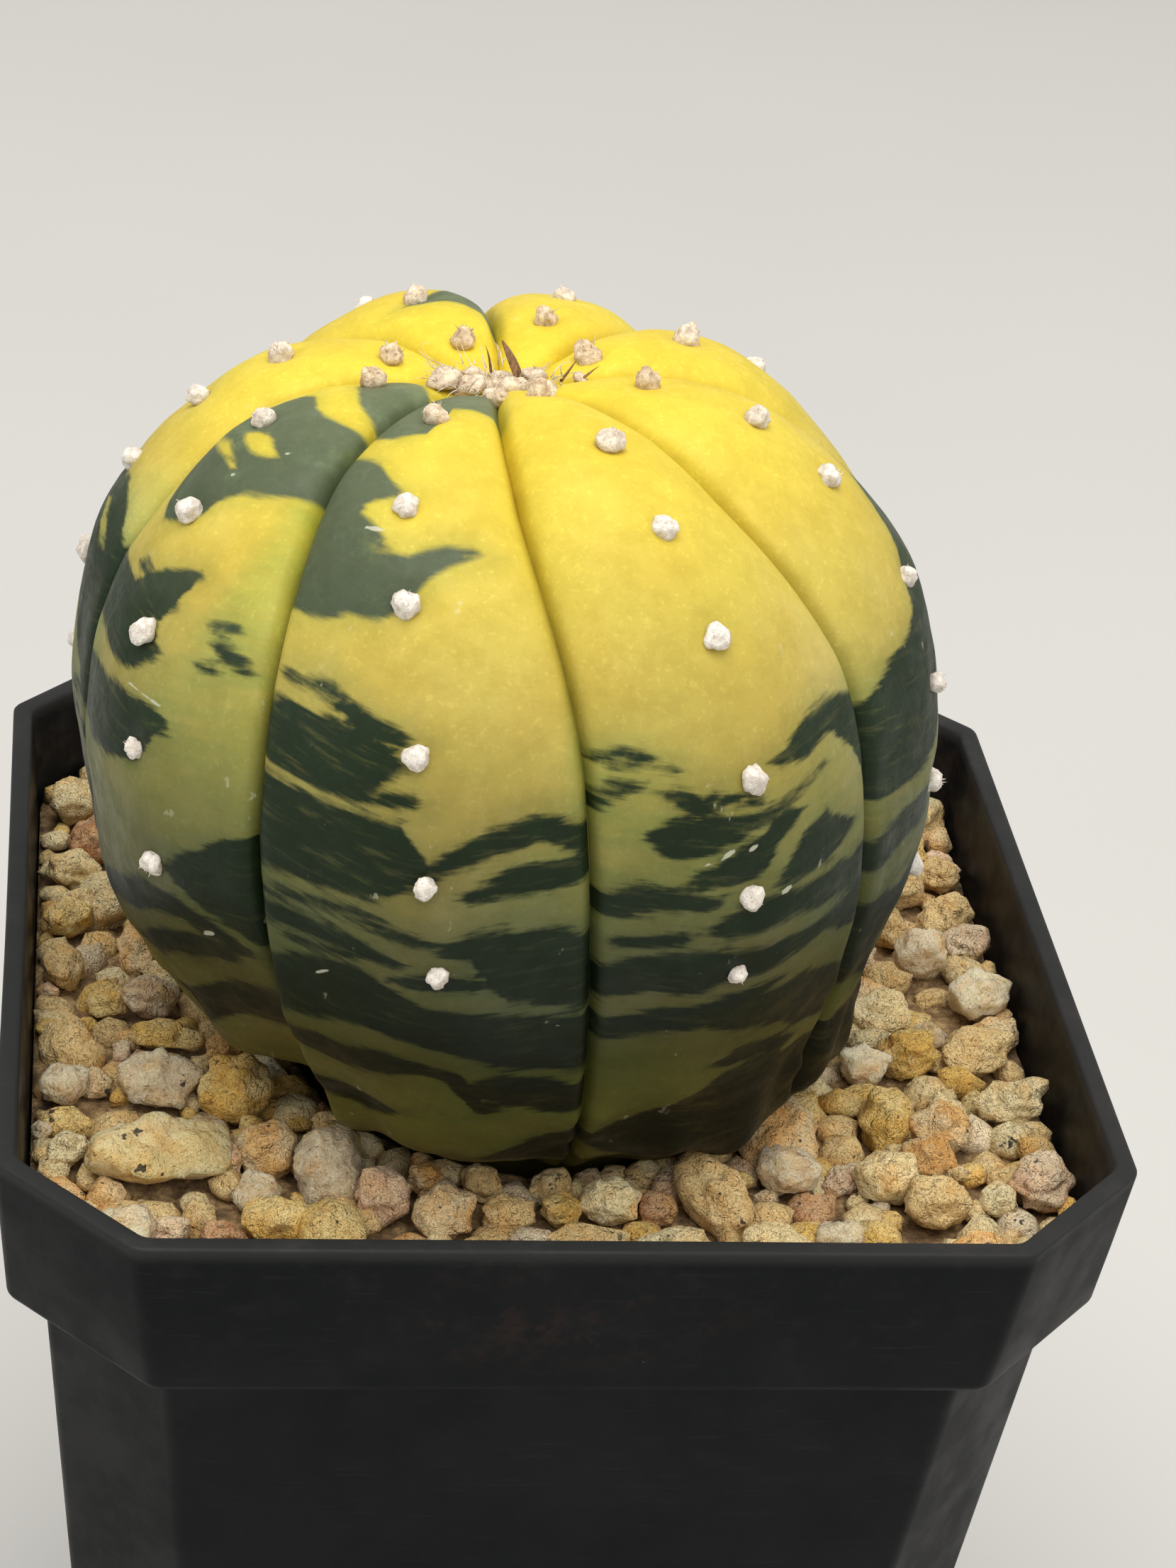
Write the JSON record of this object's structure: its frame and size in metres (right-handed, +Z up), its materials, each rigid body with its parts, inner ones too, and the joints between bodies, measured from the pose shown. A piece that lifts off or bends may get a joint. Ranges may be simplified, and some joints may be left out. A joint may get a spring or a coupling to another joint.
{
  "type": "potted variegated sand dollar cactus",
  "caption": "Round ribbed cactus with yellow and green variegation and white wool pads, in a square black plastic pot with cut corners and a gravel top dressing.",
  "frame": {"origin": "middle of the pot's foot, on the surface it stands on", "axes": "+Z up; -Y towards the front, the side with the yellow ribs; +X to the right seen from the front"},
  "size_m": [0.07, 0.07, 0.1245],
  "materials": {
    "pot_plastic": "fine satin",
    "soil": "rough and crumbly",
    "gravel": "rough broken grains",
    "cactus_flesh": "smooth waxy skin",
    "wool": "matted wool"
  },
  "bodies": {
    "root": {"pot": "pot_plastic", "soil": "soil", "gravel": "gravel", "cactus": "cactus_flesh", "crown_wool": "wool"}
  },
  "joints": []
}
